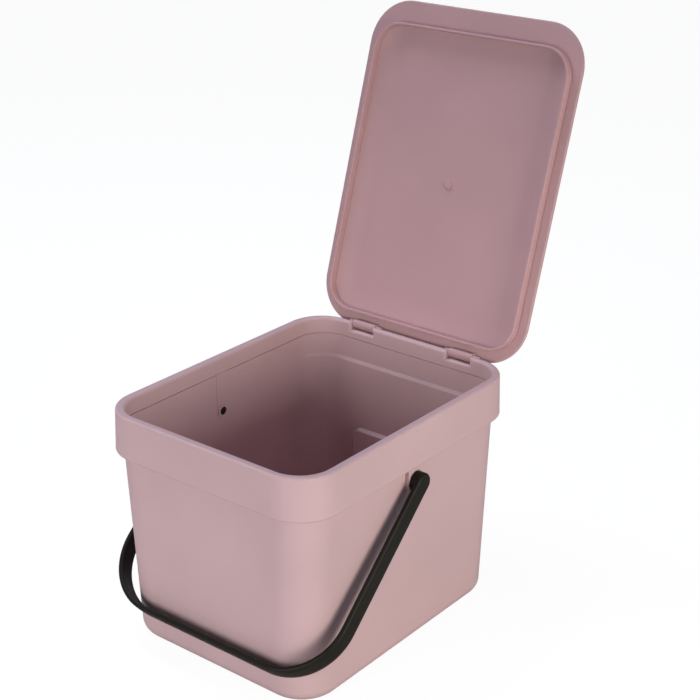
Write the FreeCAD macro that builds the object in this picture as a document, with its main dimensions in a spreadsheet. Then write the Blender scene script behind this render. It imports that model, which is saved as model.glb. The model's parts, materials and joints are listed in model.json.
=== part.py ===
import FreeCAD, Part
import math
import os

import Sketcher

# Small rectangular kitchen waste bin: a tapered bucket with a proud collar, a hinged lid that stands
# open past upright, and a strip bail that rests against the front wall.
#
# Frame: millimetres, +Z up, the floor at z = 0, the front at -Y and the hinge at +Y.
# The origin is on the floor under the middle of the collar.
#
# Every driving dimension is a cell of the sheet below, and each size of a sketch or feature is an
# expression of those cells.

SIZES = [
    # the bucket
    ("collar_width", 200.0, "outside width of the collar"),
    ("collar_depth", 254.0, "outside depth of the collar, front to back"),
    ("collar_corner", 32.0, "corner radius of the collar, seen from above"),
    ("rim_height", 191.2, "height of the rim above the floor"),
    ("collar_height", 33.7, "height of the collar band"),
    ("collar_flare", 1.2, "how far the collar widens from the rim down to its lower edge"),
    ("collar_proud", 5.0, "how far the collar stands out from the wall"),
    ("collar_edge_round", 1.6, "round of the collar's lower edge"),
    ("wall", 2.2, "thickness of the walls"),
    ("floor_wall", 2.5, "thickness of the floor"),
    ("side_taper", 2.7, "how far each side wall draws in from collar to floor"),
    ("front_taper", 4.8, "the same for the front wall"),
    ("back_taper", 0.5, "the same for the back wall"),
    ("base_corner", 32.0, "corner radius of the floor, seen from above"),
    ("base_round", 10.0, "round between the walls and the floor, outside"),
    ("floor_round", 7.0, "size and round of the bevel between the walls and the floor, inside"),
    ("skirt_wall", 2.0, "thickness of the collar's hanging skirt"),
    ("rim_cap", 3.0, "thickness of the rim over the hollow of the collar"),
    ("rear_rail", 66.0, "length of the solid rear stretch of the collar"),
    ("rim_outer_round", 1.8, "round of the rim's outer edge"),
    ("rim_inner_round", 2.4, "round of the rim's inner edge"),
    ("ledge_step", 2.0, "depth of the ledge inside the back wall"),
    ("ledge_rise", 2.6, "height of the ledge's sloping face"),
    ("bag_line_drop", 13.0, "depth of the fine line inside the rim"),
    ("bag_line_height", 0.8, "height of that line"),
    ("bag_line_depth", 0.9, "how deep that line is cut"),
    # the recess on the back
    ("recess_width", 98.0, "width of the recess on the back"),
    ("recess_top", 96.0, "height of the recess's upper edge"),
    ("recess_foot", 38.0, "height of the recess's lower edge"),
    ("recess_depth", 4.2, "depth of the recess at its upper edge"),
    ("recess_corner", 5.0, "corner radius of the recess"),
    ("recess_edge", 1.3, "round of the hump's edges inside the wall"),
    ("recess_draft", 1.6, "slope of the recess's hump inside the wall"),
    # the handle's pivots
    ("pivot_drop", 12.5, "how far the pivots lie below the collar"),
    ("pivot_hole", 7.0, "diameter of the pivot holes"),
    ("pivot_pad_width", 17.0, "width of the pads round the pivot holes"),
    ("pivot_ring", 12.0, "diameter of the ring round the hole, inside"),
    ("pivot_ring_rise", 0.8, "how far that ring stands out of the wall"),
    ("pivot_rib", 13.0, "width of the low upright rib over each pivot hole, inside"),
    ("pivot_rib_rise", 0.25, "how far that rib stands out of the wall"),
    # the hinge
    ("hinge_behind", 1.0, "hinge axis behind the collar's rear face"),
    ("hinge_drop", 2.5, "hinge axis below the rim"),
    ("hinge_spread", 96.5, "distance between the middles of the two hinges"),
    ("hinge_notch", 22.6, "width of a hinge notch"),
    ("hinge_notch_depth", 6.6, "depth of a hinge notch below the rim"),
    ("hinge_pin", 3.2, "diameter of a hinge pin"),
    ("hinge_ear_wall", 1.0, "wall of a hinge ear round its pin"),
    ("hinge_ear", 4.5, "length of a hinge ear"),
    ("hinge_gusset", 5.0, "height of the gusset under an ear"),
    ("hinge_gap", 0.3, "gap at each end of a knuckle"),
    ("hinge_fit", 0.08, "radial clearance of a knuckle on its pin"),
    # the lid
    ("lid_gap", 0.3, "gap between the closed lid and the rim"),
    ("lid_open", 107.0, "angle of the open lid from closed"),
    ("lid_front_lip", 10.0, "how far the closed lid reaches past the collar's front"),
    ("lid_rear_lip", 2.4, "how far the closed lid reaches past the collar's rear"),
    ("lid_corner", 35.5, "corner radius of the lid"),
    ("lid_plate", 3.0, "thickness of the lid's flange"),
    ("lid_edge_round", 1.2, "round of the lid's edge"),
    ("crown_rise", 3.0, "height of the lid's crown"),
    ("crown_margin", 7.0, "distance from the lid's edge to the foot of the crown"),
    ("crown_slope", 14.0, "width of the crown's sloping border"),
    ("crown_round", 45.0, "round between the crown and its sloping border"),
    ("plug_height", 6.0, "height of the plug rib under the lid"),
    ("plug_wall", 2.2, "thickness of the plug rib"),
    ("plug_gap", 1.0, "gap between the plug rib and the rim"),
    ("plug_round", 0.8, "round of the plug rib's crest"),
    ("gate_mark", 7.5, "diameter of the moulding bump in the middle of the lid's underside"),
    ("gate_mark_rise", 1.4, "height of that bump"),
    ("gate_mark_round", 1.2, "round of that bump"),
    ("knuckle_wall", 2.1, "wall of a knuckle round its bore"),
    ("knuckle_mouth", 2.4, "height of a knuckle's snap mouth"),
    # the handle
    ("strip_width", 15.2, "width of the handle's strip"),
    ("strip_thick", 4.1, "thickness of the strip"),
    ("strip_round", 1.6, "round of the strip's edges"),
    ("bail_side_gap", 2.2, "gap between the collar and each arm at the pivots"),
    ("bail_reach", 171.0, "distance from the pivots to the outside of the bar"),
    ("bail_bend", 49.0, "outer radius of the bends"),
    ("bail_splay", 1.2, "angle at which each arm leans outwards on its way to the bar, in degrees"),
    ("bail_rest_gap", 0.3, "gap between the resting bar and the front wall"),
    ("boss", 15.6, "diameter of the boss at each end"),
    ("boss_gap", 0.4, "gap between a boss and its pad"),
    ("boss_round", 1.6, "round of a boss's outer edge"),
    ("stud_fit", 0.08, "radial clearance of a stud in its hole"),
    ("stud_short", 0.3, "how far a stud ends short of the inside"),
    ("stud_chamfer", 0.6, "chamfer on the end of a stud"),
    ("overrun", 4.0, "how far every cut runs past what it cuts"),
]

doc = FreeCAD.newDocument("waste_bin")
sizes = doc.addObject("Spreadsheet::Sheet", "sizes")
for row, (alias, size, meaning) in enumerate(SIZES, start=1):
    sizes.set(f"A{row}", alias)
    sizes.set(f"B{row}", str(size))
    sizes.set(f"C{row}", meaning)
    sizes.setAlias(f"B{row}", alias)
doc.recompute()


def value(expression):
    """The number that an expression of the sheet's cells comes to."""
    return float(sizes.evalExpression(expression))


# Heights and places that several features share
COLLAR_FOOT = "(sizes.rim_height - sizes.collar_height)"
LEDGE_TOP = f"({COLLAR_FOOT} + sizes.wall)"
LEDGE_FOOT = f"({LEDGE_TOP} - sizes.ledge_rise)"
PIVOT_Z = f"({COLLAR_FOOT} - sizes.pivot_drop)"
HINGE_Y = "(sizes.collar_depth / 2 + sizes.hinge_behind)"
HINGE_Z = "(sizes.rim_height - sizes.hinge_drop)"
PAD_FACE = "(sizes.collar_width / 2 - sizes.skirt_wall)"


# Outlines seen from above: half width, front, back and corner radius, as expressions
def outline(half, front, back, corner):
    return {"half": half, "low": front, "high": back, "corner": corner}


def inset(shape, amount):
    """The same outline drawn in by an amount on every side."""
    return outline(f"({shape['half']} - {amount})", f"({shape['low']} + {amount})",
                   f"({shape['high']} - {amount})", f"({shape['corner']} - {amount})")


COLLAR = outline("(sizes.collar_width / 2)", "(-sizes.collar_depth / 2)",
                 "(sizes.collar_depth / 2)", "sizes.collar_corner")
NECK = inset(COLLAR, "sizes.collar_proud")
BASE = outline(f"({NECK['half']} - sizes.side_taper)", f"({NECK['low']} + sizes.front_taper)",
               f"({NECK['high']} - sizes.back_taper)", "sizes.base_corner")
MOUTH = inset(NECK, "sizes.wall")


def inside_at(height):
    """Outline of the walls' inner faces at a height below the collar."""
    down = f"(1 - {height} / {COLLAR_FOOT})"
    return outline(f"({MOUTH['half']} - sizes.side_taper * {down})",
                   f"({MOUTH['low']} + sizes.front_taper * {down})",
                   f"({MOUTH['high']} - sizes.back_taper * {down})",
                   f"({MOUTH['corner']} + ({BASE['corner']} - {NECK['corner']}) * {down})")


RIM_MOUTH = outline(MOUTH["half"], MOUTH["low"], f"({MOUTH['high']} + sizes.ledge_step)", MOUTH["corner"])
# inner face of a side wall at the height of the pivots
PIVOT_WALL = f"({MOUTH['half']} - sizes.side_taper * sizes.pivot_drop / {COLLAR_FOOT})"


# Sketches: every line and arc is held by constraints whose values are expressions
def plane_of(body, role):
    return next(feature for feature in body.Origin.OriginFeatures if feature.Role == role)


def new_sketch(body, name, role, offset):
    """A sketch on one of the body's own planes, moved along the plane's normal."""
    sketch = body.newObject("Sketcher::SketchObject", name)
    sketch.AttachmentSupport = (plane_of(body, role), [""])
    sketch.MapMode = "FlatFace"
    sketch.setExpression("AttachmentOffset.Base.z", offset)
    return sketch


def hold(sketch, name, constraint, expression):
    """Add a named dimension to a sketch and bind it to an expression."""
    sketch.renameConstraint(sketch.addConstraint(constraint), name)
    sketch.setExpression(f"Constraints.{name}", expression)


def add_rounded(sketch, shape, tag=""):
    """A rectangle with equal round corners, centred on the sketch's vertical axis."""
    half, low, high, corner = (value(shape[key]) for key in ("half", "low", "high", "corner"))
    near, far = low + corner, high - corner
    side = half - corner
    runs = [((-side, low), (side, low)), ((half, near), (half, far)),
            ((side, high), (-side, high)), ((-half, far), (-half, near))]
    centres = [(side, near), (side, far), (-side, far), (-side, near)]
    items = []
    for turn, (run, centre) in enumerate(zip(runs, centres)):
        start, end = (FreeCAD.Vector(x, y, 0) for x, y in run)
        items.append(sketch.addGeometry(Part.LineSegment(start, end), False))
        circle = Part.Circle(FreeCAD.Vector(centre[0], centre[1], 0), FreeCAD.Vector(0, 0, 1), corner)
        first = (turn - 1) * math.pi / 2
        items.append(sketch.addGeometry(Part.ArcOfCircle(circle, first, first + math.pi / 2), False))
    for place, item in enumerate(items):
        following = items[(place + 1) % len(items)]
        sketch.addConstraint(Sketcher.Constraint("Tangent", item, 2, following, 1))
    front, right, back, left = items[0::2]
    arcs = items[1::2]
    for line in (front, back):
        sketch.addConstraint(Sketcher.Constraint("Horizontal", line))
    for line in (right, left):
        sketch.addConstraint(Sketcher.Constraint("Vertical", line))
    for arc in arcs[1:]:
        sketch.addConstraint(Sketcher.Constraint("Equal", arcs[0], arc))
    hold(sketch, f"corner{tag}", Sketcher.Constraint("Radius", arcs[0], corner), shape["corner"])
    hold(sketch, f"right{tag}", Sketcher.Constraint("DistanceX", -1, 1, right, 1, half), shape["half"])
    hold(sketch, f"left{tag}", Sketcher.Constraint("DistanceX", left, 1, -1, 1, half), shape["half"])
    hold(sketch, f"low{tag}", Sketcher.Constraint("DistanceY", -1, 1, front, 1, low), shape["low"])
    hold(sketch, f"high{tag}", Sketcher.Constraint("DistanceY", -1, 1, back, 1, high), shape["high"])


def add_rectangle(sketch, left, right, low, high):
    """A plain rectangle between four expressions."""
    u0, u1, v0, v1 = (value(edge) for edge in (left, right, low, high))
    corners = [FreeCAD.Vector(u, v, 0) for u, v in ((u0, v0), (u1, v0), (u1, v1), (u0, v1))]
    lines = [sketch.addGeometry(Part.LineSegment(corners[i], corners[(i + 1) % len(corners)]), False)
             for i in range(len(corners))]
    for place, line in enumerate(lines):
        following = lines[(place + 1) % len(lines)]
        sketch.addConstraint(Sketcher.Constraint("Coincident", line, 2, following, 1))
        sketch.addConstraint(Sketcher.Constraint("Vertical" if place % 2 else "Horizontal", line))
    hold(sketch, "left", Sketcher.Constraint("DistanceX", -1, 1, lines[3], 1, u0), left)
    hold(sketch, "right", Sketcher.Constraint("DistanceX", -1, 1, lines[1], 1, u1), right)
    hold(sketch, "low", Sketcher.Constraint("DistanceY", -1, 1, lines[0], 1, v0), low)
    hold(sketch, "high", Sketcher.Constraint("DistanceY", -1, 1, lines[2], 1, v1), high)


def add_circle(sketch, across, up, diameter):
    """A circle whose centre and diameter are expressions."""
    u, v, size = value(across), value(up), value(diameter)
    circle = Part.Circle(FreeCAD.Vector(u, v, 0), FreeCAD.Vector(0, 0, 1), size / 2)
    ring = sketch.addGeometry(circle, False)
    hold(sketch, "across", Sketcher.Constraint("DistanceX", -1, 1, ring, 3, u), across)
    hold(sketch, "up", Sketcher.Constraint("DistanceY", -1, 1, ring, 3, v), up)
    hold(sketch, "size", Sketcher.Constraint("Diameter", ring, size), diameter)


def add_bail(sketch, half, top, reach, bend):
    """A closed U: arms from a height down to a bar, which lean outwards on their way to round bends."""
    x, y, low, radius = (value(size) for size in (half, top, f"(-{reach})", bend))
    lean = math.radians(value("sizes.bail_splay"))
    centre_y = low + radius
    centre_x = x - radius / math.cos(lean) + (y - centre_y) * math.tan(lean)
    end_x = centre_x + radius * math.cos(lean)
    end_y = centre_y + radius * math.sin(lean)
    turns = [(-centre_x, math.pi - lean, 3 * math.pi / 2), (centre_x, 3 * math.pi / 2, 2 * math.pi + lean)]
    arcs = []
    for across, first, last in turns:
        circle = Part.Circle(FreeCAD.Vector(across, centre_y, 0), FreeCAD.Vector(0, 0, 1), radius)
        arcs.append(Part.ArcOfCircle(circle, first, last))
    places = [(x, y), (-x, y), (-end_x, end_y), (-centre_x, low), (centre_x, low), (end_x, end_y)]
    corners = [FreeCAD.Vector(across, up, 0) for across, up in places]
    runs = [Part.LineSegment(corners[0], corners[1]), Part.LineSegment(corners[1], corners[2]), arcs[0],
            Part.LineSegment(corners[3], corners[4]), arcs[1], Part.LineSegment(corners[5], corners[0])]
    gap, left_arm, left_bend, bar, right_bend, right_arm = [sketch.addGeometry(run, False) for run in runs]
    sketch.addConstraint(Sketcher.Constraint("Coincident", gap, 2, left_arm, 1))
    sketch.addConstraint(Sketcher.Constraint("Coincident", right_arm, 2, gap, 1))
    chain = (left_arm, left_bend, bar, right_bend, right_arm)
    for item, following in zip(chain, chain[1:]):
        sketch.addConstraint(Sketcher.Constraint("Tangent", item, 2, following, 1))
    sketch.addConstraint(Sketcher.Constraint("Horizontal", bar))
    sketch.addConstraint(Sketcher.Constraint("Symmetric", left_arm, 1, right_arm, 2, -2))
    sketch.addConstraint(Sketcher.Constraint("Symmetric", left_arm, 2, right_arm, 1, -2))
    hold(sketch, "half", Sketcher.Constraint("DistanceX", -1, 1, right_arm, 2, x), half)
    hold(sketch, "top", Sketcher.Constraint("DistanceY", -1, 1, right_arm, 2, y), top)
    hold(sketch, "reach", Sketcher.Constraint("DistanceY", bar, 1, -1, 1, -low), reach)
    hold(sketch, "bend", Sketcher.Constraint("Radius", right_bend, radius), bend)
    hold(sketch, "lean", Sketcher.Constraint("Angle", right_arm, math.pi / 2 + lean),
         "90 deg + sizes.bail_splay * 1 deg")


def add_profile(sketch, points, rounds):
    """A closed profile through points, where a round turns the run from its point into a quarter arc."""
    places = [FreeCAD.Vector(value(u), value(v), 0) for u, v in points]
    items = []
    for index, start in enumerate(places):
        end = places[(index + 1) % len(places)]
        curve = Part.LineSegment(start, end)
        if index in rounds:
            centre = FreeCAD.Vector(end.x, start.y, 0)
            circle = Part.Circle(centre, FreeCAD.Vector(0, 0, 1), value(rounds[index]))
            curve = Part.ArcOfCircle(circle, 0, math.pi / 2)
        items.append(sketch.addGeometry(curve, False))
    for index, item in enumerate(items):
        following = items[(index + 1) % len(items)]
        sketch.addConstraint(Sketcher.Constraint("Coincident", item, 2, following, 1))
    for index, (item, place, (u, v)) in enumerate(zip(items, places, points)):
        hold(sketch, f"across_{index}", Sketcher.Constraint("DistanceX", -1, 1, item, 1, place.x), u)
        hold(sketch, f"up_{index}", Sketcher.Constraint("DistanceY", -1, 1, item, 1, place.y), v)
        if index in rounds:
            radius = rounds[index]
            hold(sketch, f"round_{index}", Sketcher.Constraint("Radius", item, value(radius)), radius)


def rounded_sketch(body, name, shape, offset, role="XY_Plane"):
    sketch = new_sketch(body, name, role, offset)
    add_rounded(sketch, shape)
    return sketch


def rectangle_sketch(body, name, edges, offset, role):
    sketch = new_sketch(body, name, role, offset)
    add_rectangle(sketch, *edges)
    return sketch


def circle_sketch(body, name, across, up, diameter, offset, role):
    sketch = new_sketch(body, name, role, offset)
    add_circle(sketch, across, up, diameter)
    return sketch


# Features: each one is computed at once, and has to change the solid the way it says
def finish_feature(body, feature, grows):
    base = feature.BaseFeature
    before = base.Shape.Volume if base else 0.0
    doc.recompute()
    if not feature.Shape.isValid() or (feature.Shape.Volume > before) != grows:
        raise RuntimeError(f"{feature.Name} did not change {body.Label} as it should")
    return feature


def extrude(body, kind, name, sketch, length, reverse=False, both_sides=False):
    """Pad or pocket a sketch; with both_sides it runs half its length each way."""
    feature = body.newObject(f"PartDesign::{kind}", name)
    feature.Profile = sketch
    feature.setExpression("Length", length)
    feature.Reversed = reverse
    feature.Midplane = both_sides
    return finish_feature(body, feature, kind == "Pad")


def loft(body, kind, name, sections):
    """A straight-sided loft between sketches, from the upper one down, added or cut away."""
    feature = body.newObject(f"PartDesign::{kind}", name)
    feature.Profile = sections[0]
    feature.Sections = sections[1:]
    feature.Ruled = True
    return finish_feature(body, feature, kind == "AdditiveLoft")


def mirror(body, name, originals):
    """Repeat features on the other side of the body's YZ plane."""
    feature = body.newObject("PartDesign::Mirrored", name)
    feature.Originals = originals
    feature.MirrorPlane = (plane_of(body, "YZ_Plane"), [""])
    body.Tip = feature
    doc.recompute()
    return feature


def level_face(feature, height):
    """The largest flat face of a feature that lies level at a height."""
    def lies_there(face):
        box = face.BoundBox
        return box.ZLength < 1e-6 and abs(box.ZMin - value(height)) < 1e-6
    return max((face for face in feature.Shape.Faces if lies_there(face)), key=lambda face: face.Area)


def upright_face(feature, depth):
    """The largest flat face of a feature that stands upright across the bin at a depth."""
    def stands_there(face):
        box = face.BoundBox
        return box.YLength < 1e-6 and abs(box.YMin - value(depth)) < 1e-6
    return max((face for face in feature.Shape.Faces if stands_there(face)), key=lambda face: face.Area)


def edge_names(feature, edges):
    every = feature.Shape.Edges
    return [f"Edge{i + 1}" for i, edge in enumerate(every) if any(edge.isSame(other) for other in edges)]


def round_edges(body, name, feature, edges, radius):
    """Fillet some edges of the body's last feature."""
    fillet = body.newObject("PartDesign::Fillet", name)
    fillet.Base = (feature, edge_names(feature, edges))
    fillet.setExpression("Radius", radius)
    doc.recompute()
    return fillet


def inner_edges(face):
    return [edge for wire in face.Wires if not wire.isSame(face.OuterWire) for edge in wire.Edges]


def outer_edges(face):
    return face.OuterWire.Edges


def edges_in_mouth(feature, lowest):
    """The edges of a feature that lie on the mouth's outline at or above a height."""
    slack = 1e-4
    half, front, back = (value(RIM_MOUTH[key]) + slack for key in ("half", "low", "high"))
    foot = value(lowest) - slack

    def lies_there(edge):
        box = edge.BoundBox
        return (box.ZMin > foot and max(-box.XMin, box.XMax) < half
                and box.YMin > front - 2 * slack and box.YMax < back)
    return [edge for edge in feature.Shape.Edges if lies_there(edge)]


def new_body(label):
    body = doc.addObject("PartDesign::Body", label)
    body.Label = label
    return body


def place_on_hinge(body, across, up, axis, angle):
    """Put a body's origin on its hinge axis and turn the body about it."""
    body.Placement = FreeCAD.Placement(FreeCAD.Vector(0, value(across), value(up)),
                                       FreeCAD.Rotation(axis, value(angle)))
    body.setExpression("Placement.Base.y", across)
    body.setExpression("Placement.Base.z", up)
    body.setExpression("Placement.Rotation.Angle", angle)


def make_bin_body():
    """The bucket with its collar, pivot pads, hinge pins and the recess on the back."""
    body = new_body("bin_body")

    # outside: tapered bucket, then the collar on top of it
    bucket = loft(body, "AdditiveLoft", "bucket",
                  [rounded_sketch(body, "neck_outline", NECK, COLLAR_FOOT),
                   rounded_sketch(body, "base_outline", BASE, "0")])
    round_edges(body, "base_rounding", bucket, outer_edges(level_face(bucket, "0")),
                "sizes.base_round")
    flared = inset(COLLAR, "(-sizes.collar_flare)")
    collar = loft(body, "AdditiveLoft", "collar",
                  [rounded_sketch(body, "rim_outline", COLLAR, "sizes.rim_height"),
                   rounded_sketch(body, "collar_foot_outline", flared, COLLAR_FOOT)])
    edge = round_edges(body, "collar_edge", collar, outer_edges(level_face(collar, COLLAR_FOOT)),
                       "sizes.collar_edge_round")
    round_edges(body, "rim_outer_edge", edge, outer_edges(level_face(edge, "sizes.rim_height")),
                "sizes.rim_outer_round")

    # the collar is a hanging skirt, hollow below, apart from its solid rear rail
    hollow = new_sketch(body, "skirt_outline", "XY_Plane", COLLAR_FOOT)
    add_rounded(hollow, inset(COLLAR, "sizes.skirt_wall"), "_skirt")
    add_rounded(hollow, NECK, "_neck")
    skirt_depth = "(sizes.collar_height - sizes.rim_cap)"
    extrude(body, "Pocket", "skirt_hollow", hollow, skirt_depth, reverse=True)
    rail_inset = "(sizes.skirt_wall / 2)"
    rail = inset(COLLAR, rail_inset)
    rail["low"] = f"({rail['high']} - sizes.rear_rail)"
    extrude(body, "Pad", "rear_rail", rounded_sketch(body, "rail_outline", rail, COLLAR_FOOT),
            f"({skirt_depth} + sizes.rim_cap / 2)")

    # pivot pads: upright bars with a round foot, run through the bucket before it is hollowed
    half_pad = "(sizes.pivot_pad_width / 2)"
    through = f"(2 * {PAD_FACE})"
    pad_top = f"({COLLAR_FOOT} + {skirt_depth} + sizes.rim_cap / 2)"
    pad_edges = (f"(-{half_pad})", half_pad, PIVOT_Z, pad_top)
    extrude(body, "Pad", "pivot_pads",
            rectangle_sketch(body, "pad_outline", pad_edges, "0", "YZ_Plane"), through, both_sides=True)
    extrude(body, "Pad", "pivot_pad_feet",
            circle_sketch(body, "pad_foot", "0", PIVOT_Z, "sizes.pivot_pad_width", "0", "YZ_Plane"),
            through, both_sides=True)

    # inside: floor to ledge, the sloping ledge across the back, then straight up to the rim
    knee = "(sizes.floor_wall + sizes.floor_round)"
    knee_outline = inside_at(knee)
    loft(body, "SubtractiveLoft", "cavity",
         [rounded_sketch(body, "ledge_foot_outline", MOUTH, LEDGE_FOOT),
          rounded_sketch(body, "knee_outline", knee_outline, knee)])
    bevel = loft(body, "SubtractiveLoft", "floor_bevel",
                 [rounded_sketch(body, "bevel_upper", knee_outline, knee),
                  rounded_sketch(body, "floor_outline", inset(knee_outline, "sizes.floor_round"),
                                 "sizes.floor_wall")])
    round_edges(body, "floor_rounding", bevel, outer_edges(level_face(bevel, "sizes.floor_wall")),
                "sizes.floor_round")
    loft(body, "SubtractiveLoft", "ledge",
         [rounded_sketch(body, "ledge_upper", RIM_MOUTH, LEDGE_TOP),
          rounded_sketch(body, "ledge_lower", MOUTH, LEDGE_FOOT)])
    extrude(body, "Pocket", "rim_mouth", rounded_sketch(body, "mouth_outline", RIM_MOUTH, LEDGE_TOP),
            "sizes.collar_height", reverse=True)
    line = inset(RIM_MOUTH, "(-sizes.bag_line_depth)")
    extrude(body, "Pocket", "bag_line",
            rounded_sketch(body, "bag_line_outline", line, "(sizes.rim_height - sizes.bag_line_drop)"),
            "sizes.bag_line_height")

    # the recess on the back shows inside as a low hump
    top_wall = f"({NECK['high']} - sizes.back_taper * (1 - sizes.recess_top / {COLLAR_FOOT}))"
    recess_floor = f"({top_wall} - sizes.recess_depth)"
    recess = outline("(sizes.recess_width / 2)", "sizes.recess_foot", "sizes.recess_top",
                     "sizes.recess_corner")
    hump = inset(recess, "(-sizes.wall)")
    hump_foot = inset(hump, "(-sizes.recess_draft)")
    face_offset = f"(sizes.wall - {recess_floor})"
    foot_offset = f"(sizes.wall / 2 - {top_wall})"
    raised = loft(body, "AdditiveLoft", "recess_hump",
                  [rounded_sketch(body, "hump_outline", hump, face_offset, "XZ_Plane"),
                   rounded_sketch(body, "hump_foot_outline", hump_foot, foot_offset, "XZ_Plane")])
    round_edges(body, "hump_rounding", raised, outer_edges(upright_face(raised, f"(-{face_offset})")),
                "sizes.recess_edge")
    extrude(body, "Pocket", "recess",
            rounded_sketch(body, "recess_outline", recess, f"(-{recess_floor})", "XZ_Plane"),
            "(sizes.recess_depth + sizes.overrun)")

    # a low rib and a ring inside each wall, then the pivot holes through both walls
    half_rib = "(sizes.pivot_rib / 2)"
    rib_edges = (f"(-{half_rib})", half_rib, PIVOT_Z, "(sizes.rim_height - sizes.bag_line_drop)")
    rib_face = f"({PIVOT_WALL} - sizes.pivot_rib_rise)"
    rib = extrude(body, "Pad", "pivot_rib",
                  rectangle_sketch(body, "pivot_rib_outline", rib_edges, rib_face, "YZ_Plane"),
                  "(sizes.pivot_rib_rise + sizes.wall / 2)")
    ring_face = f"({PIVOT_WALL} - sizes.pivot_ring_rise)"
    circle = circle_sketch(body, "ring_outline", "0", PIVOT_Z, "sizes.pivot_ring", ring_face, "YZ_Plane")
    ring = extrude(body, "Pad", "pivot_ring", circle, "(sizes.pivot_ring_rise + sizes.wall / 2)")
    mirror(body, "pivot_rings", [rib, ring])
    extrude(body, "Pocket", "pivot_holes",
            circle_sketch(body, "hole_outline", "0", PIVOT_Z, "sizes.pivot_hole", "0", "YZ_Plane"),
            f"({through} + 2 * sizes.overrun)", both_sides=True)

    # hinges: ears behind the collar, a notch between them, and a pin across the notch
    middle = "(sizes.hinge_spread / 2)"
    ear_size = "(sizes.hinge_pin + 2 * sizes.hinge_ear_wall)"
    ear_reach = "(sizes.hinge_notch / 2 + sizes.hinge_ear)"
    ear_start = f"({middle} - {ear_reach})"
    ear_length = f"(2 * {ear_reach})"
    ears = extrude(body, "Pad", "hinge_ears",
                   circle_sketch(body, "ear_outline", HINGE_Y, HINGE_Z, ear_size, ear_start, "YZ_Plane"),
                   ear_length)
    gusset_edges = (f"({COLLAR['high']} - sizes.skirt_wall)", f"({HINGE_Y} + {ear_size} / 4)",
                    f"({HINGE_Z} - sizes.hinge_gusset)", HINGE_Z)
    gusset = extrude(body, "Pad", "hinge_gusset",
                     rectangle_sketch(body, "gusset_outline", gusset_edges, ear_start, "YZ_Plane"),
                     ear_length)
    notch_floor = "(sizes.rim_height - sizes.hinge_notch_depth)"
    notch_edges = (f"({RIM_MOUTH['high']} - sizes.overrun)", f"({HINGE_Y} + {ear_size} + sizes.overrun)",
                   notch_floor, "(sizes.rim_height + sizes.overrun)")
    notch_end = f"({middle} + sizes.hinge_notch / 2)"
    notch = extrude(body, "Pocket", "hinge_notch",
                    rectangle_sketch(body, "notch_outline", notch_edges, notch_end, "YZ_Plane"),
                    "sizes.hinge_notch")
    pin_length = "(sizes.hinge_notch + sizes.hinge_ear)"
    pin_start = f"({middle} - {pin_length} / 2)"
    pin_end = circle_sketch(body, "pin_outline", HINGE_Y, HINGE_Z, "sizes.hinge_pin", pin_start, "YZ_Plane")
    pin = extrude(body, "Pad", "hinge_pin", pin_end, pin_length)
    hinges = mirror(body, "hinge_pair", [ears, gusset, notch, pin])

    # the rim's inner edge is rounded, and so are the edges of the notches that open into it
    round_edges(body, "rim_inner_edge", hinges, edges_in_mouth(hinges, notch_floor),
                "sizes.rim_inner_round")
    return body


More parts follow.
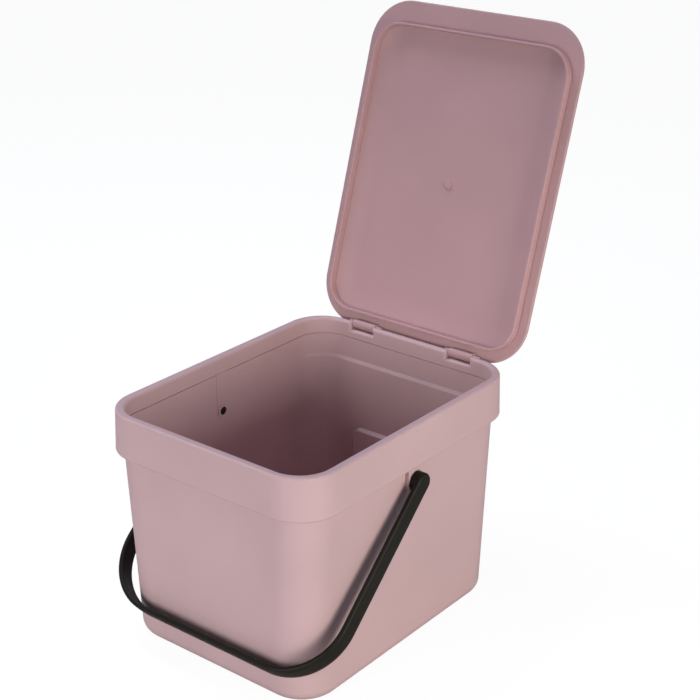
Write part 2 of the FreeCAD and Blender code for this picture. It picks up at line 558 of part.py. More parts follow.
def make_lid():
    """The lid, drawn closed with the hinge axis through its origin, then swung open."""
    body = new_body("lid")
    under = "(sizes.hinge_drop + sizes.lid_gap)"
    over = f"({under} + sizes.lid_plate)"
    front = f"(-sizes.collar_depth / 2 - sizes.lid_front_lip - {HINGE_Y})"
    back = f"(sizes.collar_depth / 2 + sizes.lid_rear_lip - {HINGE_Y})"
    edge = outline("(sizes.collar_width / 2)", front, back, "sizes.lid_corner")

    # flange plate with round edges
    plate = extrude(body, "Pad", "flange", rounded_sketch(body, "lid_outline", edge, under),
                    "sizes.lid_plate")
    rims = outer_edges(level_face(plate, under)) + outer_edges(level_face(plate, over))
    round_edges(body, "flange_edge", plate, rims, "sizes.lid_edge_round")

    # shallow crown, with the same hollow under it inside the plug rib
    plug = inset(MOUTH, "sizes.plug_gap")
    plug["low"] = f"({plug['low']} - {HINGE_Y})"
    plug["high"] = f"({plug['high']} - {HINGE_Y})"
    crown_foot = inset(edge, "sizes.crown_margin")
    crown_top = inset(crown_foot, "sizes.crown_slope")
    top = f"({over} + sizes.crown_rise)"
    crown = loft(body, "AdditiveLoft", "crown",
                 [rounded_sketch(body, "crown_top", crown_top, top),
                  rounded_sketch(body, "crown_foot", crown_foot, over)])
    round_edges(body, "crown_rounding", crown, outer_edges(level_face(crown, top)), "sizes.crown_round")
    dish_foot = inset(plug, "sizes.plug_wall")
    dish_top = inset(dish_foot, "sizes.crown_slope")
    ceiling = f"({under} + sizes.crown_rise)"
    dish = loft(body, "SubtractiveLoft", "dish",
                [rounded_sketch(body, "dish_top", dish_top, ceiling),
                 rounded_sketch(body, "dish_foot", dish_foot, under)])
    round_edges(body, "dish_rounding", dish, outer_edges(level_face(dish, ceiling)), "sizes.crown_round")
    middle = f"(({dish_foot['low']} + {dish_foot['high']}) / 2)"
    gate = extrude(body, "Pad", "gate_mark",
                   circle_sketch(body, "gate_outline", "0", middle, "sizes.gate_mark", ceiling, "XY_Plane"),
                   "sizes.gate_mark_rise", reverse=True)
    gate_top = level_face(gate, f"({ceiling} - sizes.gate_mark_rise)")
    round_edges(body, "gate_rounding", gate, outer_edges(gate_top), "sizes.gate_mark_round")

    # plug rib that drops inside the rim
    rib_outline = new_sketch(body, "plug_outline", "XY_Plane", under)
    add_rounded(rib_outline, plug, "_outer")
    add_rounded(rib_outline, dish_foot, "_inner")
    rib = extrude(body, "Pad", "plug_rib", rib_outline, "sizes.plug_height", reverse=True)
    crest = level_face(rib, f"({under} - sizes.plug_height)")
    round_edges(body, "plug_crest", rib, outer_edges(crest) + inner_edges(crest), "sizes.plug_round")

    # snap knuckles: a ring under the rear edge, a web up to the flange, a bore and a mouth to the rear
    bore = "(sizes.hinge_pin + 2 * sizes.hinge_fit)"
    ring_size = f"({bore} + 2 * sizes.knuckle_wall)"
    length = "(sizes.hinge_notch - 2 * sizes.hinge_gap)"
    start = f"(sizes.hinge_spread / 2 - {length} / 2)"
    cut_start = f"({start} + {length} + sizes.overrun)"
    cut_length = f"({length} + 2 * sizes.overrun)"
    ring = extrude(body, "Pad", "knuckle",
                   circle_sketch(body, "knuckle_outline", "0", "0", ring_size, start, "YZ_Plane"), length)
    web_edges = (f"(-{ring_size} / 2)", "0", "0", f"({under} + sizes.lid_plate / 2)")
    web = extrude(body, "Pad", "knuckle_web",
                  rectangle_sketch(body, "web_outline", web_edges, start, "YZ_Plane"), length)
    hole = extrude(body, "Pocket", "knuckle_bore",
                   circle_sketch(body, "bore_outline", "0", "0", bore, cut_start, "YZ_Plane"), cut_length)
    snap_edges = ("0", f"({ring_size} / 2 + sizes.overrun)",
                  "(-sizes.knuckle_mouth / 2)", "(sizes.knuckle_mouth / 2)")
    snap = extrude(body, "Pocket", "knuckle_mouth",
                   rectangle_sketch(body, "snap_outline", snap_edges, cut_start, "YZ_Plane"), cut_length)
    mirror(body, "knuckle_pair", [ring, web, hole, snap])

    # swing the closed lid open about the hinge
    place_on_hinge(body, HINGE_Y, HINGE_Z, FreeCAD.Vector(-1, 0, 0), "sizes.lid_open")
    return body


# Slope of the resting handle: the bar's inner lower edge just stands off the front wall
WALL_TILT = f"atan(sizes.front_taper / {COLLAR_FOOT})"
PIVOT_TO_WALL = f"({PIVOT_Z} * sin({WALL_TILT}) - {BASE['low']} * cos({WALL_TILT}))"
INNER_REACH = "(sizes.bail_reach - sizes.strip_thick)"
HALF_STRIP = "(sizes.strip_width / 2)"
BAR_EDGE = f"sqrt({INNER_REACH} * {INNER_REACH} + {HALF_STRIP} * {HALF_STRIP})"
BAIL_SLOPE = (f"(acos(({PIVOT_TO_WALL} + sizes.bail_rest_gap) / {BAR_EDGE}) + {WALL_TILT}"
              f" - atan({HALF_STRIP} / {INNER_REACH}))")


def make_carry_handle():
    """The strip bail, drawn level with its pivot axis through the origin, then lowered to rest."""
    body = new_body("carry_handle")
    arm_face = "(sizes.collar_width / 2 + sizes.bail_side_gap + sizes.strip_thick)"

    # the U of strip: a solid of its outside, then its inside cut away up through the open end
    cut_start = f"({HALF_STRIP} + sizes.overrun)"
    cut_length = f"(2 * {cut_start})"
    outside = new_sketch(body, "bail_outside", "XY_Plane", "0")
    add_bail(outside, arm_face, "0", "sizes.bail_reach", "sizes.bail_bend")
    extrude(body, "Pad", "bail", outside, "sizes.strip_width", both_sides=True)
    lean = "sizes.bail_splay"
    inner_face = f"({arm_face} - sizes.strip_thick / cos({lean}) - sizes.overrun * tan({lean}))"
    inside = new_sketch(body, "bail_inside", "XY_Plane", cut_start)
    add_bail(inside, inner_face, "sizes.overrun", INNER_REACH, "(sizes.bail_bend - sizes.strip_thick)")
    strip = extrude(body, "Pocket", "bail_opening", inside, cut_length)
    faces = [level_face(strip, HALF_STRIP), level_face(strip, f"(-{HALF_STRIP})")]
    rims = [edge for face in faces for edge in outer_edges(face)]
    round_edges(body, "strip_rounding", strip, rims, "sizes.strip_round")

    # boss and stud at each end, in line with the pivot axis
    boss_start = f"({PAD_FACE} + sizes.boss_gap)"
    stud_start = f"({PIVOT_WALL} - sizes.pivot_ring_rise + sizes.stud_short)"
    stud_radius = "(sizes.pivot_hole / 2 - sizes.stud_fit)"
    boss_radius = "(sizes.boss / 2)"
    profile = new_sketch(body, "boss_profile", "XY_Plane", "0")
    add_profile(profile,
                [(stud_start, "0"), (arm_face, "0"),
                 (arm_face, f"({boss_radius} - sizes.boss_round)"),
                 (f"({arm_face} - sizes.boss_round)", boss_radius),
                 (boss_start, boss_radius), (boss_start, stud_radius),
                 (f"({stud_start} + sizes.stud_chamfer)", stud_radius),
                 (stud_start, f"({stud_radius} - sizes.stud_chamfer)")],
                {2: "sizes.boss_round"})
    boss = body.newObject("PartDesign::Revolution", "boss")
    boss.Profile = profile
    boss.ReferenceAxis = (plane_of(body, "X_Axis"), [""])
    finish_feature(body, boss, True)
    mirror(body, "boss_pair", [boss])

    place_on_hinge(body, "0", PIVOT_Z, FreeCAD.Vector(1, 0, 0), BAIL_SLOPE)
    return body


bodies = [make_bin_body(), make_lid(), make_carry_handle()]
doc.recompute()

for item in doc.Objects:
    if "Invalid" in item.State or "Error" in item.State:
        raise RuntimeError(f"{item.Name} failed: {item.State}")
for body in bodies:
    shape = body.Shape
    if shape.isNull() or not shape.isValid() or len(shape.Solids) != 1:
        raise RuntimeError(f"{body.Label} is not one sound solid")

os.makedirs("parts", exist_ok=True)
for body in bodies:
    body.Shape.exportStep(f"parts/{body.Label}.step")
    print(f"{body.Label}: volume {body.Shape.Volume / 1000:.1f} cm3")
print(f"handle slope at rest {value(BAIL_SLOPE):.3f} degrees")
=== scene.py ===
import json
import math

import bpy
from mathutils import Matrix, Vector


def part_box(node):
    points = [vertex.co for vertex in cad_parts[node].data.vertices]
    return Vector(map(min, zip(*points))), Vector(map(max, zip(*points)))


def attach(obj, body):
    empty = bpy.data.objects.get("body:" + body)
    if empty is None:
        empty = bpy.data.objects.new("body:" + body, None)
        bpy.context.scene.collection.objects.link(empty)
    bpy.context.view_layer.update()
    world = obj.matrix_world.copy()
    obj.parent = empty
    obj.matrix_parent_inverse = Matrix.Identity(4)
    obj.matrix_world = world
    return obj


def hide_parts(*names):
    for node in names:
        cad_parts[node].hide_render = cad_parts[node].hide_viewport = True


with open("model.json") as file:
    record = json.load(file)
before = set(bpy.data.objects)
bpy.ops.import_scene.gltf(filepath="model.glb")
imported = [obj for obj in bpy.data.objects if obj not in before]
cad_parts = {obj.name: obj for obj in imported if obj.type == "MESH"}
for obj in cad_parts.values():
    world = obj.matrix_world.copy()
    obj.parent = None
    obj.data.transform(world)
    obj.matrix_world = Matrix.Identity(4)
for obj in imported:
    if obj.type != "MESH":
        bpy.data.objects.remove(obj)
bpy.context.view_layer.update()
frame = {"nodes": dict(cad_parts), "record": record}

# how far the swept handle may depart from the solid that it stands for, in metres
FIT = 0.0006
# points of the handle that lie closer than this are one point, in metres
WELD = 0.00002
# straight runs in a quarter round on a turned end, in a bend of the strip, in a round of the strip's
# edge, and round a turned end
ROUND_STEPS = 6
BEND_STEPS = 28
EDGE_STEPS = 4
TURN_STEPS = 64
# cuts in each run of the strip's section, so that its outer face can swell
FACE_CUTS = 3
# edges that fold by more than this stay sharp
SHARP_ANGLE = math.radians(32.0)

# moulded plastic: clouds in its colour, smears in its gloss, its grain, and each moulding's roughness
# and shine
CLOUD_SCALE = 14.0
CLOUD_DETAIL = 4.0
CLOUD_STOPS = (0.3, 0.7)
CLOUD_LEVELS = (0.965, 1.035)
SMEAR_SCALE = 70.0
SMEAR_DETAIL = 5.0
SMEAR_SPREAD = 0.05
GRAIN_DETAIL = 2.0
GRAIN_STRENGTH = 0.25
GRAIN_DEPTH_SHARE = 0.1
BODY_ROUGHNESS = 0.52
LID_ROUGHNESS = 0.5
HANDLE_ROUGHNESS = 0.45
PINK_SHINE = 0.35
HANDLE_SHINE = 0.15

# the floor's paper: grey to the light, and nearly white to the camera but for a faint shadow
PAPER_GREY = 0.5
PAPER_ROUGHNESS = 0.9
PAPER_GLOW = 1.17
PAPER_GLOW_SHARE = 0.8
WHITE = (1.0, 1.0, 1.0)
# how far up the sky its upper strength is reached, 1 being overhead
SKY_FADE = 0.6
# soft lamps, in metres: where each stands, the point it faces, its width, and the angle that its light
# spreads over
LAMPS = {
    "front_light": {"place": (-0.1, -1.15, 0.32), "target": (0.0, 0.0, 0.02), "size": 0.6,
                    "spread": math.radians(64.0)},
    "side_light": {"place": (1.18, -0.1, 0.29), "target": (0.0, 0.06, 0.04), "size": 0.66,
                   "spread": math.radians(110.0)},
    "rim_light": {"place": (-0.75, 0.1, 1.6), "target": (0.0, 0.0, 0.1), "size": 0.6, "spread": math.pi},
}
# the camera's sensor in millimetres, and its nearest and farthest distance in metres
SENSOR = 36.0
CLIP = (0.01, 50.0)

bl_info = {
    "name": "Lidded kitchen waste bin",
    "version": (1, 0, 0),
    "blender": (4, 5, 0),
    "location": "View3D > Sidebar > Waste Bin",
    "description": "Finishes the moulded waste bin on its CAD frame and sets up its studio",
    "category": "Object",
}


class BinFinish(bpy.types.PropertyGroup):
    """Colours and surface of the mouldings."""
    pink: bpy.props.FloatVectorProperty(
        name="Pink", description="Colour of the bucket", subtype="COLOR", size=3,
        min=0.0, max=1.0, default=(0.575, 0.386, 0.385))
    # the lid's colour: its own slightly purpler pink, darkened further as painted shade for the dimmer
    # light on the lid
    lid_tone_and_painted_shade: bpy.props.FloatVectorProperty(
        name="Mauve", description="Colour of the lid", subtype="COLOR", size=3,
        min=0.0, max=1.0, default=(0.508, 0.299, 0.299))
    charcoal: bpy.props.FloatVectorProperty(
        name="Charcoal", description="Colour of the carrying handle", subtype="COLOR", size=3,
        min=0.0, max=1.0, default=(0.0138, 0.0115, 0.0078))
    grain: bpy.props.FloatProperty(
        name="Grain", description="Size of the spark-eroded grain on the plastic", unit="LENGTH",
        default=0.0005, min=0.0001, max=0.005, precision=5)


class BailSizes(bpy.types.PropertyGroup):
    """Sizes of the carrying handle, drawn level with its pivots on the X axis."""
    rest_slope: bpy.props.FloatProperty(
        name="Rest slope", description="How far the resting handle slopes down", subtype="ANGLE",
        default=math.radians(42.302), min=0.0, max=math.pi / 2)
    splay: bpy.props.FloatProperty(
        name="Splay", description="How far each arm leans outwards on its way to the bar",
        subtype="ANGLE", default=math.radians(1.2), min=0.0, max=math.radians(10.0))
    face: bpy.props.FloatProperty(
        name="Arm face", description="Distance of an arm's outer face from the middle, at the pivots",
        unit="LENGTH", default=0.1063, min=0.05, max=0.3, precision=4)
    reach: bpy.props.FloatProperty(
        name="Reach", description="Distance from the pivots to the outer face of the bar",
        unit="LENGTH", default=0.171, min=0.05, max=0.5, precision=4)
    bend: bpy.props.FloatProperty(
        name="Bend", description="Outer radius of the two bends", unit="LENGTH",
        default=0.049, min=0.005, max=0.1, precision=4)
    width: bpy.props.FloatProperty(
        name="Strip width", description="Width of the strip", unit="LENGTH",
        default=0.0152, min=0.004, max=0.05, precision=4)
    thick: bpy.props.FloatProperty(
        name="Strip thickness", description="Thickness of the strip", unit="LENGTH",
        default=0.0041, min=0.001, max=0.02, precision=4)
    edge: bpy.props.FloatProperty(
        name="Strip edge", description="Round of the strip's edges", unit="LENGTH",
        default=0.0016, min=0.0002, max=0.01, precision=4)
    crown: bpy.props.FloatProperty(
        name="Crown", description="How far the outer face swells in the middle of the strip",
        unit="LENGTH", default=0.0003, min=0.0, max=0.005, precision=4)
    boss: bpy.props.FloatProperty(
        name="Boss radius", description="Radius of the round end of an arm", unit="LENGTH",
        default=0.0078, min=0.002, max=0.05, precision=4)
    boss_foot: bpy.props.FloatProperty(
        name="Boss foot", description="Distance of a boss's inner face from the middle", unit="LENGTH",
        default=0.0984, min=0.02, max=0.3, precision=4)
    stud: bpy.props.FloatProperty(
        name="Stud radius", description="Radius of a pivot stud", unit="LENGTH",
        default=0.00342, min=0.001, max=0.02, precision=5)
    stud_foot: bpy.props.FloatProperty(
        name="Stud foot", description="Distance of a stud's end from the middle", unit="LENGTH",
        default=0.0921, min=0.02, max=0.3, precision=4)
    stud_bevel: bpy.props.FloatProperty(
        name="Stud bevel", description="Bevel on a stud's end", unit="LENGTH",
        default=0.0006, min=0.0, max=0.005, precision=4)


class StudioSettings(bpy.types.PropertyGroup):
    """Camera, floor and light of the studio."""
    lens: bpy.props.FloatProperty(
        name="Lens", description="Focal length of the camera in millimetres", unit="CAMERA",
        default=81.9, min=10.0, max=300.0)
    eye: bpy.props.FloatVectorProperty(
        name="Camera place", description="Where the camera stands", subtype="TRANSLATION", size=3,
        default=(0.69897, -0.84215, 0.68594))
    back: bpy.props.FloatVectorProperty(
        name="Camera back", description="Direction from the object to the camera",
        subtype="DIRECTION", size=3, default=(0.57296, -0.70373, 0.42010))
    shift: bpy.props.FloatVectorProperty(
        name="Camera shift", description="Shift of the picture, in picture widths",
        subtype="COORDINATES", size=2, default=(0.0348, 0.0746))
    sky_low: bpy.props.FloatProperty(
        name="Low sky", description="Strength of the even light from the horizon", subtype="FACTOR",
        default=0.47, min=0.0, max=5.0)
    sky_high: bpy.props.FloatProperty(
        name="High sky", description="Strength of the even light from above", subtype="FACTOR",
        default=0.2, min=0.0, max=5.0)
    front_light: bpy.props.FloatProperty(
        name="Front light", description="Power of the low soft light in front", unit="POWER",
        default=1.15, min=0.0, max=500.0)
    side_light: bpy.props.FloatProperty(
        name="Side light", description="Power of the low soft light on the right", unit="POWER",
        default=4.0, min=0.0, max=500.0)
    rim_light: bpy.props.FloatProperty(
        name="Rim light", description="Power of the high soft light from the left", unit="POWER",
        default=15.0, min=0.0, max=500.0)
    cool: bpy.props.FloatVectorProperty(
        name="Cool light", description="Colour of the light from above", subtype="COLOR", size=3,
        min=0.0, max=1.0, default=(0.75, 0.815, 1.0))
    warm: bpy.props.FloatVectorProperty(
        name="Warm light", description="Colour of the light on the right", subtype="COLOR", size=3,
        min=0.0, max=1.0, default=(1.0, 0.985, 0.92))
    floor_size: bpy.props.FloatProperty(
        name="Floor", description="Width of the floor", unit="LENGTH", default=12.0, min=1.0, max=50.0)


def add_node(tree, kind, **values):
    """A node of a tree with some of its properties set."""
    node = tree.nodes.new(kind)
    for key, setting in values.items():
        setattr(node, key, setting)
    return node


def add_noise(tree, place, scale, detail):
    """Noise that stays with the object, as a socket."""
    noise = add_node(tree, "ShaderNodeTexNoise")
    noise.inputs["Scale"].default_value = scale
    noise.inputs["Detail"].default_value = detail
    tree.links.new(place.outputs["Object"], noise.inputs["Vector"])
    return noise.outputs["Fac"]


def moulded_plastic(name, colour, grain, roughness, shine):
    """Matte injection-moulded plastic: slightly uneven colour and gloss, and a fine eroded grain."""
    material = bpy.data.materials.new(name)
    material.use_nodes = True
    tree = material.node_tree
    link = tree.links.new
    shader = tree.nodes["Principled BSDF"]
    place = add_node(tree, "ShaderNodeTexCoord")
    tint = add_node(tree, "ShaderNodeValToRGB")
    for stop, position, level in zip(tint.color_ramp.elements, CLOUD_STOPS, CLOUD_LEVELS):
        stop.position = position
        stop.color = (*(min(1.0, channel * level) for channel in colour), 1.0)
    link(add_noise(tree, place, CLOUD_SCALE, CLOUD_DETAIL), tint.inputs["Fac"])
    link(tint.outputs["Color"], shader.inputs["Base Color"])
    dull = add_node(tree, "ShaderNodeMapRange")
    dull.inputs["To Min"].default_value = roughness - SMEAR_SPREAD
    dull.inputs["To Max"].default_value = roughness + SMEAR_SPREAD
    link(add_noise(tree, place, SMEAR_SCALE, SMEAR_DETAIL), dull.inputs["Value"])
    link(dull.outputs["Result"], shader.inputs["Roughness"])
    bump = add_node(tree, "ShaderNodeBump")
    bump.inputs["Strength"].default_value = GRAIN_STRENGTH
    bump.inputs["Distance"].default_value = grain * GRAIN_DEPTH_SHARE
    link(add_noise(tree, place, 1.0 / grain, GRAIN_DETAIL), bump.inputs["Height"])
    link(bump.outputs["Normal"], shader.inputs["Normal"])
    shader.inputs["Specular IOR Level"].default_value = shine
    return material


def paint_node(node, material):
    """Give a CAD node one material in place of those it came with."""
    slots = frame["nodes"][node].data.materials
    slots.clear()
    slots.append(material)


class WASTEBIN_OT_paint_body(bpy.types.Operator):
    """Gives the bucket its pink moulded finish"""
    bl_idname = "wastebin.paint_body"
    bl_label = "Bucket"

    def execute(self, context):
        finish = context.scene.bin_finish
        plastic = moulded_plastic("bucket_pink", finish.pink, finish.grain, BODY_ROUGHNESS, PINK_SHINE)
        paint_node("bin_body", plastic)
        return {"FINISHED"}


class WASTEBIN_OT_paint_lid(bpy.types.Operator):
    """Gives the lid its pink moulded finish, in a colour darkened and made purpler as painted shade"""
    bl_idname = "wastebin.paint_lid"
    bl_label = "Lid"

    def execute(self, context):
        finish = context.scene.bin_finish
        # the lid's colour is darker than the bucket's pink partly as painted shade
        plastic = moulded_plastic("lid_pink", finish.lid_tone_and_painted_shade, finish.grain, LID_ROUGHNESS, PINK_SHINE)
        paint_node("lid", plastic)
        return {"FINISHED"}


def bail_guides(sizes):
    """The two guides of the handle: the path of its strip, and the axis of a turned end with its radii."""
    half_thick = sizes.thick / 2
    low = half_thick - sizes.reach
    arm = sizes.face - half_thick / math.cos(sizes.splay)
    bar = arm - low * math.tan(sizes.splay)
    path = [((-arm, 0.0), 1.0), ((-bar, low), 1.0), ((bar, low), 1.0), ((arm, 0.0), 1.0)]
    turned = [(sizes.stud_foot, 0.0), (sizes.stud_foot, sizes.stud - sizes.stud_bevel),
              (sizes.stud_foot + sizes.stud_bevel, sizes.stud), (sizes.boss_foot, sizes.stud),
              (sizes.boss_foot, sizes.boss)]
    for step in range(ROUND_STEPS + 1):
        turn = math.pi / 2 * step / ROUND_STEPS
        turned.append((sizes.face - sizes.edge * (1 - math.sin(turn)),
                       sizes.boss - sizes.edge * (1 - math.cos(turn))))
    flat = turned[-1][1]
    turned += [(sizes.face, flat * (1 - step / ROUND_STEPS)) for step in range(1, ROUND_STEPS + 1)]
    # the end's outer round and flat swell as the strip's outer face does
    outer = len(turned) - 2 * ROUND_STEPS
    for place, (across, radius) in enumerate(turned[outer:], start=outer):
        turned[place] = (across + sizes.crown * (1 - (2 * radius / sizes.width) ** 2), radius)
    end = [((across, 0.0), radius) for across, radius in turned]
    curve = bpy.data.curves.new("bail_guides", "CURVE")
    curve.dimensions = "3D"
    for points in (path, end):
        spline = curve.splines.new("POLY")
        spline.points.add(len(points) - 1)
        for point, ((across, along), radius) in zip(spline.points, points):
            point.co = (across, along, 0.0, 1.0)
            point.radius = radius
    return bpy.data.objects.new("bail_guides", curve)


def bail_tree():
    """Nodes that sweep the strip along the first guide and turn both round ends about the second."""
    tree = bpy.data.node_groups.new("strip_bail", "GeometryNodeTree")
    face = tree.interface
    face.new_socket("Geometry", in_out="INPUT", socket_type="NodeSocketGeometry")
    for name in ("Bend", "Width", "Thickness", "Edge", "Crown"):
        face.new_socket(name, in_out="INPUT", socket_type="NodeSocketFloat")
    face.new_socket("Material", in_out="INPUT", socket_type="NodeSocketMaterial")
    face.new_socket("Geometry", in_out="OUTPUT", socket_type="NodeSocketGeometry")
    link = tree.links.new
    given = add_node(tree, "NodeGroupInput").outputs

    def maths(operation, first, second):
        node = add_node(tree, "ShaderNodeMath", operation=operation)
        for socket, term in zip(node.inputs, (first, second)):
            if isinstance(term, (int, float)):
                socket.default_value = term
            else:
                link(term, socket)
        return node.outputs[0]

    def half(socket):
        return maths("MULTIPLY", socket, 0.5)

    # the two guides are told apart by their number, 0 and 1
    number = add_node(tree, "GeometryNodeInputIndex")
    guides = add_node(tree, "GeometryNodeSeparateGeometry", domain="CURVE")
    link(given["Geometry"], guides.inputs["Geometry"])
    link(maths("LESS_THAN", number.outputs[0], 0.5), guides.inputs["Selection"])

    # path with round bends
    bends = add_node(tree, "GeometryNodeFilletCurve", mode="POLY")
    bends.inputs["Count"].default_value = BEND_STEPS
    link(guides.outputs["Selection"], bends.inputs["Curve"])
    link(maths("SUBTRACT", given["Bend"], half(given["Thickness"])), bends.inputs["Radius"])
    upright = add_node(tree, "GeometryNodeSetCurveNormal", mode="Z_UP")
    link(bends.outputs["Curve"], upright.inputs["Curve"])

    # section of the strip: round edges, and a swelling on the outer face
    section = add_node(tree, "GeometryNodeCurvePrimitiveQuadrilateral")
    link(given["Thickness"], section.inputs["Width"])
    link(given["Width"], section.inputs["Height"])
    edges = add_node(tree, "GeometryNodeFilletCurve", mode="POLY")
    edges.inputs["Count"].default_value = EDGE_STEPS
    link(section.outputs["Curve"], edges.inputs["Curve"])
    link(given["Edge"], edges.inputs["Radius"])
    finer = add_node(tree, "GeometryNodeSubdivideCurve")
    finer.inputs["Cuts"].default_value = FACE_CUTS
    link(edges.outputs["Curve"], finer.inputs["Curve"])
    place = add_node(tree, "ShaderNodeSeparateXYZ")
    link(add_node(tree, "GeometryNodeInputPosition").outputs[0], place.inputs[0])
    share = maths("DIVIDE", place.outputs["Y"], half(given["Width"]))
    swell = maths("SUBTRACT", 1.0, maths("MULTIPLY", share, share))
    outer = maths("MAXIMUM", maths("DIVIDE", place.outputs["X"], half(given["Thickness"])), 0.0)
    move = add_node(tree, "ShaderNodeCombineXYZ")
    link(maths("MULTIPLY", maths("MULTIPLY", swell, outer), given["Crown"]), move.inputs["X"])
    crowned = add_node(tree, "GeometryNodeSetPosition")
    link(finer.outputs["Curve"], crowned.inputs["Geometry"])
    link(move.outputs[0], crowned.inputs["Offset"])
    strip = add_node(tree, "GeometryNodeCurveToMesh")
    strip.inputs["Fill Caps"].default_value = True
    link(upright.outputs["Curve"], strip.inputs["Curve"])
    link(crowned.outputs["Geometry"], strip.inputs["Profile Curve"])

    # turned end, and its mirror image
    circle = add_node(tree, "GeometryNodeCurvePrimitiveCircle")
    circle.inputs["Resolution"].default_value = TURN_STEPS
    circle.inputs["Radius"].default_value = 1.0
    turned = add_node(tree, "GeometryNodeCurveToMesh")
    link(guides.outputs["Inverted"], turned.inputs["Curve"])
    link(circle.outputs["Curve"], turned.inputs["Profile Curve"])
    link(add_node(tree, "GeometryNodeInputRadius").outputs[0], turned.inputs["Scale"])
    mirrored = add_node(tree, "GeometryNodeTransform")
    mirrored.inputs["Scale"].default_value = (-1.0, 1.0, 1.0)
    link(turned.outputs["Mesh"], mirrored.inputs["Geometry"])
    flipped = add_node(tree, "GeometryNodeFlipFaces")
    link(mirrored.outputs["Geometry"], flipped.inputs["Mesh"])

    # one mesh, smooth but for its sharp corners
    whole = add_node(tree, "GeometryNodeMeshBoolean", operation="UNION", solver="EXACT")
    for source in (strip.outputs["Mesh"], turned.outputs["Mesh"], flipped.outputs["Mesh"]):
        link(source, whole.inputs["Mesh 2"])
    joined = add_node(tree, "GeometryNodeMergeByDistance")
    joined.inputs["Distance"].default_value = WELD
    link(whole.outputs["Mesh"], joined.inputs["Geometry"])
    fold = add_node(tree, "GeometryNodeInputMeshEdgeAngle").outputs["Unsigned Angle"]
    soft = add_node(tree, "GeometryNodeSetShadeSmooth", domain="EDGE")
    link(joined.outputs["Geometry"], soft.inputs["Geometry"])
    link(maths("LESS_THAN", fold, SHARP_ANGLE), soft.inputs["Shade Smooth"])
    smooth = add_node(tree, "GeometryNodeSetShadeSmooth", domain="FACE")
    link(soft.outputs["Geometry"], smooth.inputs["Geometry"])
    real = add_node(tree, "GeometryNodeRealizeInstances")
    link(smooth.outputs["Geometry"], real.inputs["Geometry"])
    finish = add_node(tree, "GeometryNodeSetMaterial")
    link(real.outputs["Geometry"], finish.inputs["Geometry"])
    link(given["Material"], finish.inputs["Material"])
    link(finish.outputs["Geometry"], add_node(tree, "NodeGroupOutput").inputs["Geometry"])
    return tree


def evaluate_tree(holder, tree, inputs, name):
    """Run a node tree on an object and return the result as a plain mesh object of that name."""
    scene = bpy.context.scene
    scene.collection.objects.link(holder)
    modifier = holder.modifiers.new(name, "NODES")
    modifier.node_group = tree
    for item in tree.interface.items_tree:
        if item.item_type == "SOCKET" and item.in_out == "INPUT" and item.name in inputs:
            modifier[item.identifier] = inputs[item.name]
    ready = holder.evaluated_get(bpy.context.evaluated_depsgraph_get())
    mesh = bpy.data.meshes.new_from_object(ready)
    if not mesh.polygons:
        raise RuntimeError(f"{name} came out empty")
    mesh.name = name
    holder.modifiers.remove(modifier)
    scene.collection.objects.unlink(holder)
    piece = bpy.data.objects.new(name, mesh)
    scene.collection.objects.link(piece)
    return piece


class WASTEBIN_OT_make_handle(bpy.types.Operator):
    """Sweeps the carrying handle's strip between its two turned ends, and lays it on the front wall"""
    bl_idname = "wastebin.make_handle"
    bl_label = "Carrying handle"

    def execute(self, context):
        finish = context.scene.bin_finish
        sizes = context.scene.bin_bail
        plastic = moulded_plastic("handle_charcoal", finish.charcoal, finish.grain, HANDLE_ROUGHNESS,
                                  HANDLE_SHINE)
        inputs = {"Bend": sizes.bend, "Width": sizes.width, "Thickness": sizes.thick, "Edge": sizes.edge,
                  "Crown": sizes.crown, "Material": plastic}
        piece = evaluate_tree(bail_guides(sizes), bail_tree(), inputs, "strip_bail")
        joints = frame["record"]["behaviour"]["joints"]
        pivot = next(joint["pos_m"] for joint in joints if joint["name"] == "handle_pivot")
        piece.data.transform(Matrix.Translation(pivot) @ Matrix.Rotation(sizes.rest_slope, 4, "X"))
        low, high = (Vector(corner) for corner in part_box("carry_handle"))
        corners = [vertex.co for vertex in piece.data.vertices]
        for axis in range(3):
            ends = [corner[axis] for corner in corners]
            if max(abs(min(ends) - low[axis]), abs(max(ends) - high[axis])) > FIT:
                raise RuntimeError("the handle is not where the frame has it")
        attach(piece, "bail")
        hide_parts("carry_handle")
        return {"FINISHED"}


def mix_for_camera(tree, plain, shown, share, surface):
    """Link a surface to a plain shader, over which the camera alone sees a share of another."""
    ray = add_node(tree, "ShaderNodeLightPath")
    part = add_node(tree, "ShaderNodeMath", operation="MULTIPLY")
    part.inputs[1].default_value = share
    mix = add_node(tree, "ShaderNodeMixShader")
    tree.links.new(ray.outputs["Is Camera Ray"], part.inputs[0])
    tree.links.new(part.outputs[0], mix.inputs["Fac"])
    tree.links.new(plain.outputs[0], mix.inputs[1])
    tree.links.new(shown.outputs[0], mix.inputs[2])
    tree.links.new(mix.outputs[0], surface)


def add_floor(scene, studio):
    """The paper that the bin stands on."""
    half = studio.floor_size / 2
    corners = [(-half, -half, 0), (half, -half, 0), (half, half, 0), (-half, half, 0)]
    mesh = bpy.data.meshes.new("studio_floor")
    mesh.from_pydata(corners, [], [(0, 1, 2, 3)])
    floor = bpy.data.objects.new("studio_floor", mesh)
    scene.collection.objects.link(floor)
    paper = bpy.data.materials.new("studio_paper")
    paper.use_nodes = True
    tree = paper.node_tree
    shader = tree.nodes["Principled BSDF"]
    shader.inputs["Base Color"].default_value = (PAPER_GREY, PAPER_GREY, PAPER_GREY, 1.0)
    shader.inputs["Roughness"].default_value = PAPER_ROUGHNESS
    shader.inputs["Specular IOR Level"].default_value = 0.0
    glow = add_node(tree, "ShaderNodeEmission")
    glow.inputs["Strength"].default_value = PAPER_GLOW
    mix_for_camera(tree, shader, glow, PAPER_GLOW_SHARE, tree.nodes["Material Output"].inputs["Surface"])
    mesh.materials.append(paper)


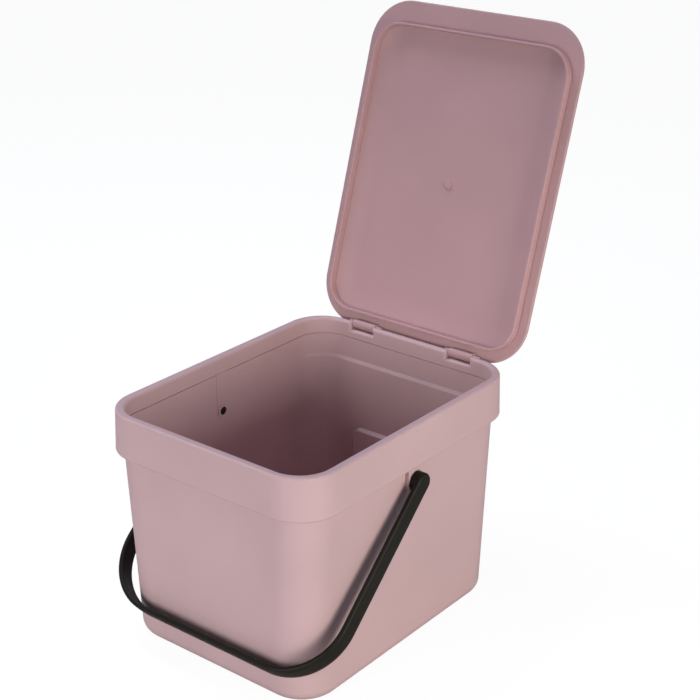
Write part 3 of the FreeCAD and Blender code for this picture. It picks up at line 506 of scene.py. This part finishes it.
def light_sky(scene, studio):
    """Even cool light that fades with height, and plain white where the camera sees past the floor."""
    world = scene.world or bpy.data.worlds.new("studio")
    scene.world = world
    world.use_nodes = True
    tree = world.node_tree
    tree.nodes.clear()
    height = add_node(tree, "ShaderNodeSeparateXYZ")
    tree.links.new(add_node(tree, "ShaderNodeTexCoord").outputs["Generated"], height.inputs[0])
    fade = add_node(tree, "ShaderNodeMapRange")
    fade.inputs["From Max"].default_value = SKY_FADE
    fade.inputs["To Min"].default_value = studio.sky_low
    fade.inputs["To Max"].default_value = studio.sky_high
    tree.links.new(height.outputs["Z"], fade.inputs["Value"])
    sky = add_node(tree, "ShaderNodeBackground")
    sky.inputs["Color"].default_value = (*studio.cool, 1.0)
    tree.links.new(fade.outputs["Result"], sky.inputs["Strength"])
    backdrop = add_node(tree, "ShaderNodeBackground")
    backdrop.inputs["Color"].default_value = (*WHITE, 1.0)
    mix_for_camera(tree, sky, backdrop, 1.0, add_node(tree, "ShaderNodeOutputWorld").inputs["Surface"])


def area_light(scene, name, power, colour, place, target, size, spread):
    """A square lamp that faces a point."""
    lamp = bpy.data.lights.new(name, "AREA")
    lamp.size = size
    lamp.energy = power
    lamp.color = colour
    lamp.spread = spread
    holder = bpy.data.objects.new(name, lamp)
    holder.location = place
    holder.rotation_euler = (Vector(target) - Vector(place)).to_track_quat("-Z", "Y").to_euler()
    scene.collection.objects.link(holder)


def add_camera(scene, studio):
    """The camera at the photo's viewing angle."""
    lens = bpy.data.cameras.new("photo_camera")
    lens.lens = studio.lens
    lens.sensor_width = SENSOR
    lens.shift_x, lens.shift_y = studio.shift
    lens.clip_start, lens.clip_end = CLIP
    camera = bpy.data.objects.new("photo_camera", lens)
    camera.location = studio.eye
    camera.rotation_mode = "QUATERNION"
    camera.rotation_quaternion = (-Vector(studio.back)).to_track_quat("-Z", "Y")
    scene.collection.objects.link(camera)
    scene.camera = camera


class WASTEBIN_OT_stage(bpy.types.Operator):
    """Sets the floor, the soft light and the camera"""
    bl_idname = "wastebin.stage"
    bl_label = "Studio"

    def execute(self, context):
        scene = context.scene
        studio = scene.bin_studio
        scene.view_settings.view_transform = "Standard"
        add_floor(scene, studio)
        light_sky(scene, studio)
        colours = {"front_light": WHITE, "side_light": studio.warm, "rim_light": studio.cool}
        for name, lamp in LAMPS.items():
            area_light(scene, name, getattr(studio, name), colours[name], **lamp)
        add_camera(scene, studio)
        return {"FINISHED"}


OPERATORS = (WASTEBIN_OT_paint_body, WASTEBIN_OT_paint_lid, WASTEBIN_OT_make_handle, WASTEBIN_OT_stage)


class WASTEBIN_PT_panel(bpy.types.Panel):
    """Sidebar panel that lists the pieces of the bin"""
    bl_idname = "WASTEBIN_PT_panel"
    bl_label = "Waste bin"
    bl_space_type = "VIEW_3D"
    bl_region_type = "UI"
    bl_category = "Waste Bin"

    def draw(self, context):
        for group in (context.scene.bin_finish, context.scene.bin_bail, context.scene.bin_studio):
            for key in group.__annotations__:
                self.layout.prop(group, key)
        for operator in OPERATORS:
            self.layout.operator(operator.bl_idname)


CLASSES = (BinFinish, BailSizes, StudioSettings, *OPERATORS, WASTEBIN_PT_panel)


def register():
    for cls in CLASSES:
        bpy.utils.register_class(cls)
    bpy.types.Scene.bin_finish = bpy.props.PointerProperty(type=BinFinish)
    bpy.types.Scene.bin_bail = bpy.props.PointerProperty(type=BailSizes)
    bpy.types.Scene.bin_studio = bpy.props.PointerProperty(type=StudioSettings)


def unregister():
    del bpy.types.Scene.bin_studio
    del bpy.types.Scene.bin_bail
    del bpy.types.Scene.bin_finish
    for cls in reversed(CLASSES):
        bpy.utils.unregister_class(cls)


def main():
    register()
    bpy.ops.wastebin.paint_body()
    bpy.ops.wastebin.paint_lid()
    bpy.ops.wastebin.make_handle()
    bpy.ops.wastebin.stage()


if __name__ == "__main__":
    main()
